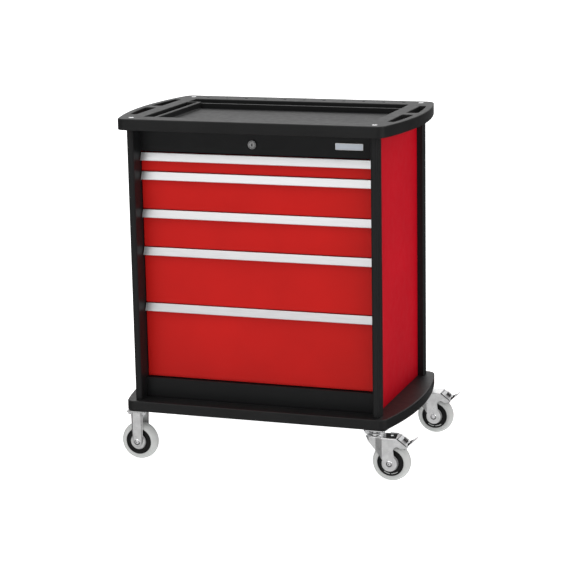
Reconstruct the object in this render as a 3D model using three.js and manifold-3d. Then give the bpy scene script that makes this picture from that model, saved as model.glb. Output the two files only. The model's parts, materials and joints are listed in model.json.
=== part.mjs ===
// Tool cart: a five-drawer roller cabinet with a storage tray on top, a winged base
// and four casters.  Millimetres, +X to the right, +Y to the back, +Z up.
// The origin is on the floor, under the middle of the whole cart.
import * as THREE from "three";
import { mergeVertices } from "three/addons/utils/BufferGeometryUtils.js";
import Module from "manifold-3d";

const wasm = await Module();
wasm.setup();

// ---------------------------------------------------------------- driving dimensions
const GAP = 0.3; // left between pieces that touch

// Heights, from the floor up
const CASTER_HEIGHT = 136;
const BASE_HEIGHT = 28;
const PLINTH_HEIGHT = 55;
const DRAWER_HEIGHTS = [50, 100, 100, 150, 200]; // top drawer first
const FASCIA_HEIGHT = 64;
const TRAY_HEIGHT = 30;

// Plan of the cabinet
const CABINET_WIDTH = 671.4; // over the corner posts
const CABINET_DEPTH = 463;
const FACE_RECESS = 49; // drawer faces behind the front of the posts
const PLINTH_RECESS = 37;

// Winged outline that the top tray and the base share
const WING_HALF_WIDTH = 388; // at mid depth
const WING_SAG = 35; // how much narrower the ends are
const OVERHANG = 17; // past the posts, front and back
const CORNER_RADIUS = 25;
const SHELL = 4; // moulded wall thickness

// Corner posts
const POST_WIDTH = 18;
const POST_SIDE = 37.3;
const POST_WALL = 2;
const JAMB = 1.4; // thin fin that runs back to the drawer faces

// Sheet metal
const SHEET = 1.2;
const SIDE_INSET = 15.4; // side panels behind the outer faces of the posts

// Drawers and their slides
const FRONT_WIDTH = 631;
const FRONT_DEPTH = 14; // folded pan behind each drawer face
const FRONT_GAP = 1; // above and below each face
const BOX_WIDTH = 616; // over the side walls
const BOX_REAR = 430; // behind the front of the posts
const SLIDE_HEIGHT = 25; // slide centre above the bottom of its drawer
const HANDLE_REACH = 11.4;
const HANDLE_DROP = 20;

// Lock
const LOCK_X = -9;
const LOCK_BELOW_TRAY = 36;
const LOCK_TRAVEL = 6.5; // of the lock bar
const PLUG_RADIUS = 8;
const ROD_RADIUS = 3;

// Casters
const WHEEL_RADIUS = 50;
const TYRE_WIDTH = 32;
const RIM_RADIUS = 35;
const AXLE_RADIUS = 6;
const CASTER_Y = 219; // wheel planes, in front of and behind the middle
const FIXED_X = -330;
const SWIVEL_X = 325;
const TRAIL = 40; // swivel axis to hub
const PLATE_SIZE = 56;
const PEDAL_REACH = 69; // pedal tip beyond the hub

// ---------------------------------------------------------------- derived places
const BASE_TOP = CASTER_HEIGHT + BASE_HEIGHT;
const STACK_BOTTOM = BASE_TOP + PLINTH_HEIGHT;
const STACK_HEIGHT = DRAWER_HEIGHTS.reduce((sum, height) => sum + height, 0);
const STACK_TOP = STACK_BOTTOM + STACK_HEIGHT;
const SKIRT_BOTTOM = STACK_TOP + FASCIA_HEIGHT;
const TRAY_TOP = SKIRT_BOTTOM + TRAY_HEIGHT;
const FRONT = -CABINET_DEPTH / 2; // front of the posts
const FACE = FRONT + FACE_RECESS;
const HALF_WIDTH = CABINET_WIDTH / 2;
const HALF_DEPTH = CABINET_DEPTH / 2 + OVERHANG;
const JAMB_X = HALF_WIDTH - POST_WIDTH; // inner face of the posts
const PANEL_X = HALF_WIDTH - SIDE_INSET; // outer face of the side panels
const WALL_X = PANEL_X - SHEET - GAP; // outer face of the runner walls
const RAIL_X = WALL_X - SHEET; // where the fixed rails stand
const RAIL_FRONT = FRONT + 66;
const REAR_FIN = 2; // the jambs of the rear posts are only this long
const RAIL_BACK = CABINET_DEPTH / 2 - POST_SIDE - REAR_FIN - 0.5;
const LOCK_Z = TRAY_TOP - TRAY_HEIGHT - LOCK_BELOW_TRAY;
const HUB_X = SWIVEL_X + TRAIL;
const CABINET_SHIFT = (WING_HALF_WIDTH - HUB_X - PEDAL_REACH) / 2;
const WING_RADIUS = (HALF_DEPTH ** 2 + WING_SAG ** 2) / (2 * WING_SAG);
const WING_CENTRE = WING_HALF_WIDTH - WING_RADIUS;

// ---------------------------------------------------------------- materials
function paint(color, roughness, metalness) {
  return new THREE.MeshStandardMaterial({ color, roughness, metalness });
}

const MATERIALS = {
  blackPlastic: paint(0x2a2b2b, 0.6, 0),
  blackPaint: paint(0x1e1f20, 0.5, 0.1),
  drawerRed: paint(0xc4211f, 0.4, 0.1),
  panelRed: paint(0xb01526, 0.4, 0.1),
  aluminium: paint(0xd9dadd, 0.35, 0.9),
  zincSteel: paint(0xb8babd, 0.4, 0.9),
  chrome: paint(0xb4b6b8, 0.2, 1),
  tyreGrey: paint(0xc3c4c2, 0.7, 0),
  rimBlack: paint(0x191a1b, 0.6, 0),
  plateBlue: paint(0x8d97a6, 0.35, 0.8),
};

// ---------------------------------------------------------------- solids
function positionsOnly(geometry) {
  const plain = new THREE.BufferGeometry();
  plain.setAttribute("position", geometry.getAttribute("position").clone());
  if (geometry.index) {
    plain.setIndex(geometry.index.clone());
  }
  return mergeVertices(plain, 1e-4);
}

// A closed geometry as a manifold solid; triangles that a merge flattened are dropped.
function solid(geometry) {
  const merged = positionsOnly(geometry);
  const corners = merged.index.array;
  const triangles = [];
  for (let i = 0; i < corners.length; i += 3) {
    const [a, b, c] = [corners[i], corners[i + 1], corners[i + 2]];
    if (a !== b && b !== c && c !== a) {
      triangles.push(a, b, c);
    }
  }
  const mesh = new wasm.Mesh({
    numProp: 3,
    vertProperties: new Float32Array(merged.getAttribute("position").array),
    triVerts: new Uint32Array(triangles),
  });
  return new wasm.Manifold(mesh);
}

function joined(solids) {
  return solids.reduce((whole, next) => whole.add(next));
}

function without(whole, cutters) {
  return cutters.reduce((rest, cutter) => rest.subtract(cutter), whole);
}

function geometryOf(manifold) {
  const mesh = manifold.getMesh();
  const geometry = new THREE.BufferGeometry();
  geometry.setAttribute("position", new THREE.BufferAttribute(mesh.vertProperties.slice(), 3));
  geometry.setIndex(new THREE.BufferAttribute(mesh.triVerts.slice(), 1));
  geometry.computeVertexNormals();
  return geometry;
}

// Scales a unit-deep geometry along one axis so that its two ends lie exactly at low and high
function spanned(geometry, axis, low, high) {
  const position = geometry.getAttribute("position");
  for (let i = 0; i < position.count; i += 1) {
    const isHigh = position.getComponent(i, axis) > 0;
    position.setComponent(i, axis, isHigh ? high : low);
  }
  return geometry;
}

function box(x0, x1, y0, y1, z0, z1) {
  const geometry = new THREE.BoxGeometry(1, 1, 1);
  spanned(geometry, 0, x0, x1);
  spanned(geometry, 1, y0, y1);
  return solid(spanned(geometry, 2, z0, z1));
}

// One unit deep, centred on the plane that the shape is drawn in
function slab(shape, steps) {
  const geometry = new THREE.ExtrudeGeometry(shape, {
    depth: 1,
    bevelEnabled: false,
    curveSegments: steps,
  });
  return geometry.translate(0, 0, -0.5);
}

// A shape drawn in X and Y, between two heights
function alongZ(shape, z0, z1, steps = 4) {
  return solid(spanned(slab(shape, steps), 2, z0, z1));
}

// A shape drawn in X and Z, between two depths
function alongY(shape, y0, y1, steps = 4) {
  return solid(spanned(slab(shape, steps).rotateX(Math.PI / 2), 1, y0, y1));
}

// A shape drawn in Y and Z, from left to right
function alongX(shape, x0, x1, steps = 4) {
  const axes = new THREE.Matrix4().makeBasis(
    new THREE.Vector3(0, 1, 0),
    new THREE.Vector3(0, 0, 1),
    new THREE.Vector3(1, 0, 0),
  );
  return solid(spanned(slab(shape, steps).applyMatrix4(axes), 0, x0, x1));
}

function outline(points) {
  return new THREE.Shape(points.map(([u, v]) => new THREE.Vector2(u, v)));
}

function uprightCylinder(x, y, radius, z0, z1, sides) {
  const geometry = new THREE.CylinderGeometry(radius, radius, 1, sides);
  geometry.rotateX(Math.PI / 2);
  geometry.translate(x, y, 0);
  return solid(spanned(geometry, 2, z0, z1));
}

function deepCylinder(x, z, radius, y0, y1, sides) {
  const geometry = new THREE.CylinderGeometry(radius, radius, 1, sides);
  geometry.translate(x, 0, z);
  return solid(spanned(geometry, 1, y0, y1));
}

// A body turned about the Y axis from a closed profile of [radius, y] points
function turned(profile, sides) {
  const points = profile.map(([radius, y]) => new THREE.Vector2(radius, y));
  points.push(points[0].clone());
  return solid(new THREE.LatheGeometry(points, sides));
}

function mirroredX(manifold) {
  return manifold.mirror([1, 0, 0]);
}

function mirroredY(manifold) {
  return manifold.mirror([0, 1, 0]);
}

// ---------------------------------------------------------------- assembly
const cart = new THREE.Group();
const cabinet = new THREE.Group();
cabinet.position.x = CABINET_SHIFT;
cart.add(cabinet);

function place(name, manifold, material, parent = cabinet) {
  const mesh = new THREE.Mesh(geometryOf(manifold), material);
  mesh.name = name;
  parent.add(mesh);
}

// ---------------------------------------------------------------- tray and base
// The winged outline, moved inwards by inset
function wingedOutline(inset) {
  const depth = HALF_DEPTH - inset;
  const radius = CORNER_RADIUS - inset;
  const wing = WING_RADIUS - inset;
  const cornerY = depth - radius;
  const cornerX = WING_CENTRE + Math.sqrt((wing - radius) ** 2 - cornerY ** 2);
  const sweep = Math.atan2(cornerY, cornerX - WING_CENTRE);
  const shape = new THREE.Shape();
  shape.absarc(cornerX, -cornerY, radius, -Math.PI / 2, -sweep, false);
  shape.absarc(WING_CENTRE, 0, wing, -sweep, sweep, false);
  shape.absarc(cornerX, cornerY, radius, sweep, Math.PI / 2, false);
  shape.absarc(-cornerX, cornerY, radius, Math.PI / 2, Math.PI - sweep, false);
  shape.absarc(-WING_CENTRE, 0, wing, Math.PI - sweep, Math.PI + sweep, false);
  shape.absarc(-cornerX, -cornerY, radius, Math.PI + sweep, Math.PI * 1.5, false);
  shape.closePath();
  return shape;
}

const SLOT_INNER_X = 340;
const SLOT_RIM = 18; // outside the slot, to the edge of the wing
const SLOT_START = 18; // half the rib between the two slots
const SLOT_END = 155;

// One hand slot in the right rear wing, grown by margin
function handSlot(margin, z0, z1) {
  const edge = WING_RADIUS - SLOT_RIM + margin;
  const near = SLOT_START - margin;
  const far = SLOT_END + margin;
  const shape = new THREE.Shape();
  shape.absarc(WING_CENTRE, 0, edge, Math.asin(near / edge), Math.asin(far / edge), false);
  shape.lineTo(SLOT_INNER_X - margin, far);
  shape.lineTo(SLOT_INNER_X - margin, near);
  shape.closePath();
  return alongZ(shape, z0, z1, 2);
}

function handSlots(margin, z0, z1) {
  const right = handSlot(margin, z0, z1);
  const left = mirroredX(right);
  return [right, left, mirroredY(right), mirroredY(left)];
}

const RECESS_DEPTH = 16;
const RECESS_FLOOR = TRAY_TOP - RECESS_DEPTH;
const RIDGE_DROP = 3; // ridge before the back channel, below the rim
const RECESS_RIGHT = 303;
const RECESS_LEFT = -263;
const SIDE_POCKET = [-303, -274];
const RECESS_Y = [-192, 110];
const CHANNEL_Y = [118, 176];
const TOOL_HOLE_RADIUS = 4.5;
const TOOL_HOLE_PITCH = 56;
const TOOL_HOLES_EACH_SIDE = 5;
const TOOL_HOLE_Y = 210;
const TRAY_SCREW = [326, 217];
const DECK_TOP = SKIRT_BOTTOM + GAP + 2;

// Main recess, narrow left compartment and back channel, grown by margin
function trayRecesses(margin, floor) {
  const top = TRAY_TOP + 1;
  const [y0, y1] = RECESS_Y;
  return [
    box(RECESS_LEFT - margin, RECESS_RIGHT + margin, y0 - margin, y1 + margin, floor, top),
    box(SIDE_POCKET[0] - margin, SIDE_POCKET[1] + margin, y0 - margin, y1 + margin, floor, top),
    box(
      SIDE_POCKET[0] - margin,
      RECESS_RIGHT + margin,
      CHANNEL_Y[0] - margin,
      CHANNEL_Y[1] + margin,
      floor,
      top,
    ),
  ];
}

function toolHoles() {
  const holes = [];
  for (let i = -TOOL_HOLES_EACH_SIDE; i <= TOOL_HOLES_EACH_SIDE; i += 1) {
    const x = i * TOOL_HOLE_PITCH;
    holes.push(uprightCylinder(x, TOOL_HOLE_Y, TOOL_HOLE_RADIUS, RECESS_FLOOR, TRAY_TOP + 1, 8));
  }
  return holes;
}

function screwBosses() {
  const [x, y] = TRAY_SCREW;
  const bosses = [];
  for (const sideX of [-1, 1]) {
    for (const sideY of [-1, 1]) {
      bosses.push(uprightCylinder(sideX * x, sideY * y, 8, DECK_TOP + GAP, TRAY_TOP, 8));
    }
  }
  return bosses;
}

function topTray() {
  const block = alongZ(wingedOutline(0), SKIRT_BOTTOM, TRAY_TOP);
  const ridgeSpan = [RECESS_Y[1] - 1, CHANNEL_Y[0] + 1];
  const ridge = box(RECESS_LEFT, RECESS_RIGHT, ...ridgeSpan, TRAY_TOP - RIDGE_DROP, TRAY_TOP + 1);
  const walls = [
    ...trayRecesses(SHELL, RECESS_FLOOR - SHELL),
    ...handSlots(SHELL, SKIRT_BOTTOM - 1, TRAY_TOP),
    ...screwBosses(),
  ];
  const hollow = without(alongZ(wingedOutline(SHELL), SKIRT_BOTTOM - 1, TRAY_TOP - SHELL), walls);
  return without(block, [
    hollow,
    ridge,
    ...trayRecesses(0, RECESS_FLOOR),
    ...handSlots(0, SKIRT_BOTTOM - 2, TRAY_TOP + 1),
    ...toolHoles(),
  ]);
}

function topDeck() {
  const reach = HALF_WIDTH - 1;
  return box(-reach, reach, FRONT + 2, TOOL_HOLE_Y - 14, SKIRT_BOTTOM + GAP, DECK_TOP);
}

function baseTray() {
  const block = alongZ(wingedOutline(0), CASTER_HEIGHT, BASE_TOP);
  return block.subtract(alongZ(wingedOutline(SHELL), CASTER_HEIGHT - 1, BASE_TOP - SHELL));
}

const PAN_THICKNESS = 2.5;
const PAN_HEIGHT = 14;

function chassisPan() {
  const edge = SHELL + GAP;
  const pan = alongZ(wingedOutline(edge), CASTER_HEIGHT, CASTER_HEIGHT + PAN_HEIGHT);
  const inside = alongZ(
    wingedOutline(edge + PAN_THICKNESS),
    CASTER_HEIGHT + PAN_THICKNESS,
    CASTER_HEIGHT + PAN_HEIGHT + 1,
  );
  return pan.subtract(inside);
}

// ---------------------------------------------------------------- posts and panels
const CASE_BOTTOM = BASE_TOP + GAP;
const CASE_TOP = SKIRT_BOTTOM;
const POST_OUTER_ROUND = 6;
const POST_INNER_ROUND = 5;

// Left front post: a hollow profile, with a thin jamb fin that ends at depth finEnd
function frontLeftPost(finEnd) {
  const shape = new THREE.Shape();
  shape.moveTo(0, POST_SIDE);
  shape.lineTo(0, POST_OUTER_ROUND);
  const [outer, inner] = [POST_OUTER_ROUND, POST_INNER_ROUND];
  shape.absarc(outer, outer, outer, Math.PI, Math.PI * 1.5, false);
  shape.absarc(POST_WIDTH - inner, inner, inner, Math.PI * 1.5, Math.PI * 2, false);
  shape.lineTo(POST_WIDTH, finEnd);
  shape.lineTo(POST_WIDTH - JAMB, finEnd);
  shape.lineTo(POST_WIDTH - JAMB, POST_SIDE);
  shape.closePath();
  const tunnel = new THREE.Path();
  tunnel.moveTo(POST_WALL, POST_OUTER_ROUND);
  tunnel.lineTo(POST_WIDTH - POST_WALL, POST_OUTER_ROUND);
  tunnel.lineTo(POST_WIDTH - POST_WALL, POST_SIDE - POST_WALL);
  tunnel.lineTo(POST_WALL, POST_SIDE - POST_WALL);
  tunnel.closePath();
  shape.holes.push(tunnel);
  return alongZ(shape, CASE_BOTTOM, CASE_TOP, 2).translate([-HALF_WIDTH, FRONT, 0]);
}

function sidePanelLeft() {
  const reach = CABINET_DEPTH / 2 - POST_SIDE - GAP;
  return box(-PANEL_X, SHEET - PANEL_X, -reach, reach, CASE_BOTTOM, CASE_TOP);
}

const REAR_PANEL_Y = 223;

function rearPanel() {
  const reach = JAMB_X - GAP;
  return box(-reach, reach, REAR_PANEL_Y, REAR_PANEL_Y + SHEET, CASE_BOTTOM, CASE_TOP);
}

function plinthPanel() {
  const face = FRONT + PLINTH_RECESS;
  const top = STACK_BOTTOM - 2;
  const profile = outline([
    [face, CASE_BOTTOM],
    [face + SHEET, CASE_BOTTOM],
    [face + SHEET, top - SHEET],
    [face + 30, top - SHEET],
    [face + 30, top],
    [face, top],
  ]);
  return alongX(profile, GAP - JAMB_X, JAMB_X - GAP);
}

const HOUSING_RADIUS = 11;
const FASCIA_BOTTOM = STACK_TOP + 2;

function lockFascia() {
  const reach = JAMB_X - GAP;
  const sheet = box(-reach, reach, FACE, FACE + SHEET, FASCIA_BOTTOM, CASE_TOP);
  const flange = box(-reach, reach, FACE, FACE + 24, FASCIA_BOTTOM, FASCIA_BOTTOM + SHEET);
  const hole = deepCylinder(LOCK_X, LOCK_Z, HOUSING_RADIUS + GAP, FACE - 1, FACE + 4, 18);
  return joined([sheet, flange]).subtract(hole);
}

const NAMEPLATE = { x: 249, width: 73, height: 17, thickness: 1.2 };

function nameplate() {
  const { x, width, height, thickness } = NAMEPLATE;
  const z = LOCK_Z + 3;
  const front = FACE - GAP - thickness;
  return box(x - width / 2, x + width / 2, front, FACE - GAP, z - height / 2, z + height / 2);
}

// ---------------------------------------------------------------- slides
// Each member is a channel; sizes are from the wall inwards, and half heights.
const FIXED_RAIL = { depth: 8.4, half: 17.5 };
const MIDDLE_RAIL = { start: 0.7, depth: 7.6, half: 15.7 };
const DRAWER_RAIL = { reach: 6.9, half: 13.7 };

function drawerBottoms() {
  const bottoms = [];
  let top = STACK_TOP;
  for (const height of DRAWER_HEIGHTS) {
    top -= height;
    bottoms.push(top);
  }
  return bottoms;
}

const BOTTOMS = drawerBottoms();

// Left runner wall, with one fixed rail for each drawer
function runnerWallLeft() {
  const low = STACK_BOTTOM + 3;
  const high = STACK_TOP - 3;
  const points = [
    [-WALL_X, high],
    [-WALL_X, low],
    [-RAIL_X, low],
  ];
  const tip = FIXED_RAIL.depth - RAIL_X;
  for (const bottom of [...BOTTOMS].reverse()) {
    const centre = bottom + SLIDE_HEIGHT;
    for (const side of [-1, 1]) {
      const outer = centre + side * FIXED_RAIL.half;
      const inner = outer - side * SHEET;
      const [first, second] = side < 0 ? [outer, inner] : [inner, outer];
      points.push([-RAIL_X, first], [tip, first], [tip, second], [-RAIL_X, second]);
    }
  }
  points.push([-RAIL_X, high]);
  return alongY(outline(points), RAIL_FRONT, RAIL_BACK);
}

function middleRailLeft(bottom) {
  const centre = bottom + SLIDE_HEIGHT;
  const back = MIDDLE_RAIL.start - RAIL_X;
  const tip = MIDDLE_RAIL.depth - RAIL_X;
  const low = centre - MIDDLE_RAIL.half;
  const high = centre + MIDDLE_RAIL.half;
  const channel = outline([
    [back, low],
    [tip, low],
    [tip, low + SHEET],
    [back + SHEET, low + SHEET],
    [back + SHEET, high - SHEET],
    [tip, high - SHEET],
    [tip, high],
    [back, high],
  ]);
  return alongY(channel, RAIL_FRONT + 2, RAIL_BACK - 2);
}

// ---------------------------------------------------------------- drawers
const BOX_FRONT = FACE + FRONT_DEPTH;
const BOX_BACK = FRONT + BOX_REAR;
const BOX_FLOOR = 4; // above the bottom of the drawer's space
const BOX_TOP_CLEAR = 8;
const CATCH_Z = 30;
const CATCH_HALF_WIDTH = 5;
const CATCH_X = LOCK_X + 4;

// Catch on the back of a drawer: an arm with an upturned tooth
function drawerCatch(bottom) {
  const x0 = CATCH_X - CATCH_HALF_WIDTH;
  const x1 = CATCH_X + CATCH_HALF_WIDTH;
  const low = bottom + CATCH_Z;
  return joined([
    box(x0, x1, BOX_BACK - SHEET / 2, BOX_BACK + 15.5, low, low + 1.5),
    box(x0, x1, BOX_BACK + 13, BOX_BACK + 15.5, low, low + 8),
  ]);
}

// Folded pan that carries the face; it is open underneath
function drawerFront(low, high) {
  const half = FRONT_WIDTH / 2;
  const inner = half - SHEET;
  const pan = box(-half, half, FACE, BOX_FRONT + SHEET, low, high);
  return pan.subtract(box(-inner, inner, FACE + SHEET, BOX_FRONT, low - 1, high - SHEET));
}

// Drawer-side slide member on one side wall: two flanges that run in the middle rail
function drawerRail(side, slide) {
  const wall = BOX_WIDTH / 2;
  const ends = [side * (wall - SHEET / 2), side * (wall + DRAWER_RAIL.reach)];
  const [x0, x1] = [Math.min(...ends), Math.max(...ends)];
  const { half } = DRAWER_RAIL;
  return joined([
    box(x0, x1, RAIL_FRONT, RAIL_BACK, slide - half, slide - half + SHEET),
    box(x0, x1, RAIL_FRONT, RAIL_BACK, slide + half - SHEET, slide + half),
  ]);
}

function drawer(bottom, height) {
  const wall = BOX_WIDTH / 2;
  const floor = bottom + BOX_FLOOR;
  const rim = bottom + height - BOX_TOP_CLEAR;
  const slide = bottom + SLIDE_HEIGHT;
  const frontWall = BOX_FRONT + SHEET / 2;
  const inside = box(
    SHEET - wall,
    wall - SHEET,
    BOX_FRONT + 1.5 * SHEET,
    BOX_BACK - SHEET,
    floor + SHEET,
    rim + 1,
  );
  const tub = box(-wall, wall, frontWall, BOX_BACK, floor, rim).subtract(inside);
  return joined([
    drawerFront(bottom + FRONT_GAP, bottom + height - FRONT_GAP),
    tub,
    drawerRail(-1, slide),
    drawerRail(1, slide),
    drawerCatch(bottom),
  ]);
}

// Full-width lip: a flange on the face and a slanted strip to pull, open underneath
function handle(bottom, height) {
  const top = bottom + height - FRONT_GAP;
  const profile = outline([
    [FACE - 2.6, top],
    [FACE - HANDLE_REACH, top - HANDLE_DROP],
    [FACE - HANDLE_REACH + 2, top - HANDLE_DROP - 1],
    [FACE - 1.8, top - 5],
    [FACE - 1.8, top - 14],
    [FACE - GAP, top - 14],
    [FACE - GAP, top],
  ]);
  return alongX(profile, -FRONT_WIDTH / 2, FRONT_WIDTH / 2);
}

// ---------------------------------------------------------------- lock
const LOCK_PROUD = 5;
const HOUSING_LENGTH = 20;

function lockHousing() {
  const bezel = deepCylinder(LOCK_X, LOCK_Z, 13, FACE - LOCK_PROUD, FACE - GAP, 18);
  const barrel = deepCylinder(LOCK_X, LOCK_Z, HOUSING_RADIUS, FACE - 1, FACE + HOUSING_LENGTH, 18);
  const bore = deepCylinder(LOCK_X, LOCK_Z, PLUG_RADIUS + GAP, FACE - 9, FACE + 30, 16);
  return joined([bezel, barrel]).subtract(bore);
}

function lockPlug() {
  const end = FACE + HOUSING_LENGTH + 2;
  const plug = deepCylinder(LOCK_X, LOCK_Z, PLUG_RADIUS, FACE - LOCK_PROUD + 0.5, end, 16);
  const keyway = box(LOCK_X - 0.8, LOCK_X + 0.8, FACE - 9, FACE, LOCK_Z - 4.5, LOCK_Z + 4.5);
  return plug.subtract(keyway);
}

const CRANK_Y = 209;
const BAR_Y = 214.5;
const BAR_THICKNESS = 2.5;
const CRANK_RADIUS = LOCK_TRAVEL / Math.SQRT2;
const PIN_RADIUS = 1.6;
const PIN_CLEARANCE = 0.6;
const PIN_X = LOCK_X + LOCK_TRAVEL / 2;
const PIN_Z = LOCK_Z + LOCK_TRAVEL / 2;

// Torque rod behind the plug, with a small crank and pin at its back end
function lockRod() {
  const start = FACE + HOUSING_LENGTH + 2 + GAP;
  return joined([
    deepCylinder(LOCK_X, LOCK_Z, ROD_RADIUS, start, CRANK_Y + 1, 10),
    deepCylinder(LOCK_X, LOCK_Z, ROD_RADIUS + CRANK_RADIUS, CRANK_Y, CRANK_Y + 3, 16),
    deepCylinder(PIN_X, PIN_Z, PIN_RADIUS, CRANK_Y + 2, BAR_Y + BAR_THICKNESS + 2, 10),
  ]);
}

// Upright bar with a slot for the crank pin and a hook over each drawer's catch
function lockBar() {
  const half = 8;
  const x0 = CATCH_X - half;
  const x1 = CATCH_X + half;
  const slotHalf = PIN_RADIUS + PIN_CLEARANCE;
  const back = BAR_Y + BAR_THICKNESS;
  const strip = box(x0, x1, BAR_Y, back, STACK_BOTTOM + 20, LOCK_Z + 14);
  const slot = box(PIN_X - 4, PIN_X + 5, BAR_Y - 1, back + 1, PIN_Z - slotHalf, PIN_Z + slotHalf);
  const hooks = [];
  for (const bottom of BOTTOMS) {
    const lip = bottom + CATCH_Z + 9;
    const lipFront = BOX_BACK + 8.5;
    hooks.push(box(x0, x1, lipFront, BAR_Y + 1, lip + 6.5, lip + 8));
    hooks.push(box(x0, x1, lipFront, lipFront + 2, lip, lip + 8));
  }
  return joined([strip, ...hooks]).subtract(slot);
}

// ---------------------------------------------------------------- wheels
const HALF_TYRE = TYRE_WIDTH / 2;
const RIM_BORE = AXLE_RADIUS + GAP;
const TYRE_SEAT = RIM_RADIUS + GAP;

function tyre() {
  const shoulder = WHEEL_RADIUS - 5;
  const profile = [
    [TYRE_SEAT, -HALF_TYRE + 1],
    [shoulder - 2, -HALF_TYRE],
    [WHEEL_RADIUS - 2, -HALF_TYRE / 2 - 3],
    [WHEEL_RADIUS, 0],
    [WHEEL_RADIUS - 2, HALF_TYRE / 2 + 3],
    [shoulder - 2, HALF_TYRE],
    [TYRE_SEAT, HALF_TYRE - 1],
  ];
  return turned(profile, 36);
}

function rim() {
  const profile = [
    [RIM_BORE, -HALF_TYRE - 1],
    [18, -HALF_TYRE - 1],
    [20, -HALF_TYRE + 2.5],
    [RIM_RADIUS, -HALF_TYRE + 2.5],
    [RIM_RADIUS, HALF_TYRE - 2.5],
    [20, HALF_TYRE - 2.5],
    [18, HALF_TYRE + 1],
    [RIM_BORE, HALF_TYRE + 1],
  ];
  return turned(profile, 24);
}

// Axle bolt: a round head in front, a plain shank and a nut at the back
function axle(forkHalf) {
  const head = forkHalf + GAP;
  const shank = deepCylinder(0, 0, AXLE_RADIUS, -head - 1, head + 1, 14);
  const front = deepCylinder(0, 0, 10, -head - 3.2, -head, 14);
  const nut = deepCylinder(0, 0, 9.5, head, head + 3.2, 6);
  return joined([shank, front, nut]);
}

// ---------------------------------------------------------------- caster frames
const PLATE_TOP = CASTER_HEIGHT - GAP;
const PLATE_BOTTOM = PLATE_TOP - 3;
const FIXED_FORK_HALF = 24.5;
const SWIVEL_FORK_HALF = 26;
const FORK_SHEET = 2.5;

function mountingPlate(centreX) {
  const half = PLATE_SIZE / 2;
  const round = 6;
  const inner = half - round;
  const shape = new THREE.Shape();
  shape.absarc(centreX + inner, -inner, round, -Math.PI / 2, 0, false);
  shape.absarc(centreX + inner, inner, round, 0, Math.PI / 2, false);
  shape.absarc(centreX - inner, inner, round, Math.PI / 2, Math.PI, false);
  shape.absarc(centreX - inner, -inner, round, Math.PI, Math.PI * 1.5, false);
  shape.closePath();
  return alongZ(shape, PLATE_BOTTOM, PLATE_TOP, 1);
}

function axleHole() {
  return deepCylinder(0, WHEEL_RADIUS, AXLE_RADIUS + GAP, -40, 40, 16);
}

// A bent strip seen from above, cut to its side view, on both sides of the wheel
function forkLegs(plan, side) {
  const [low, high] = [WHEEL_RADIUS - 30, PLATE_BOTTOM + 1];
  const leg = alongZ(plan, low, high).intersect(alongY(side, -40, 40, 5));
  return [leg, mirroredY(leg)];
}

function fixedFork() {
  const outer = FIXED_FORK_HALF;
  const inner = outer - FORK_SHEET;
  const flange = 17;
  const flat = 12;
  const plan = outline([
    [-flange, -outer + 4],
    [-flat, -outer],
    [flat, -outer],
    [flange, -outer + 4],
    [flange, -inner + 4],
    [flat - 0.8, -inner],
    [0.8 - flat, -inner],
    [-flange, -inner + 4],
  ]);
  const side = new THREE.Shape();
  side.moveTo(-flange, PLATE_BOTTOM + 1);
  side.lineTo(-15, WHEEL_RADIUS + 18);
  side.absarc(0, WHEEL_RADIUS, 12.5, Math.PI, Math.PI * 2, false);
  side.lineTo(15, WHEEL_RADIUS + 18);
  side.lineTo(flange, PLATE_BOTTOM + 1);
  side.closePath();
  return joined([mountingPlate(0), ...forkLegs(plan, side)]).subtract(axleHole());
}

const FORK_TOP = 117;
const FORK_NOSE = -66; // leading end, before the hub
const FOLD_START = -38; // the legs step outward between these two folds
const FOLD_END = -19;
const CROWN_END = 19; // where the crown stops and the legs slope down
const FORK_TAIL = 45;
const RACE_RADIUS = 21;
const KINGPIN_RADIUS = 6;

// Plate, upper race and king pin of a swivel caster, in hub coordinates
function swivelPlate() {
  const x = -TRAIL;
  return joined([
    mountingPlate(x),
    uprightCylinder(x, 0, RACE_RADIUS, FORK_TOP + 9, PLATE_BOTTOM + 1, 18),
    uprightCylinder(x, 0, KINGPIN_RADIUS, FORK_TOP - 6, PLATE_BOTTOM, 12),
    uprightCylinder(x, 0, 10, FORK_TOP - 9, FORK_TOP - 3 - GAP, 12),
  ]);
}

// Side view of the swivel fork: raked nose, round hub boss and a lobe behind the wheel
function swivelForkSide() {
  const hub = WHEEL_RADIUS;
  const side = new THREE.Shape();
  side.moveTo(FORK_NOSE, FORK_TOP);
  side.lineTo(FORK_NOSE, FORK_TOP - 2);
  side.absarc(0, hub, 20.5, Math.PI * 0.86, Math.PI * 2.2, false);
  side.lineTo(11.5, hub + 21);
  side.absarc(20.5, hub + 33.5, 10.5, Math.PI * 1.08, Math.PI * 0.45, true);
  side.lineTo(36, hub + 42);
  side.lineTo(FORK_TAIL, hub + 44);
  side.lineTo(FORK_TAIL, hub + 48);
  side.lineTo(CROWN_END, FORK_TOP);
  side.closePath();
  return side;
}

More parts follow.
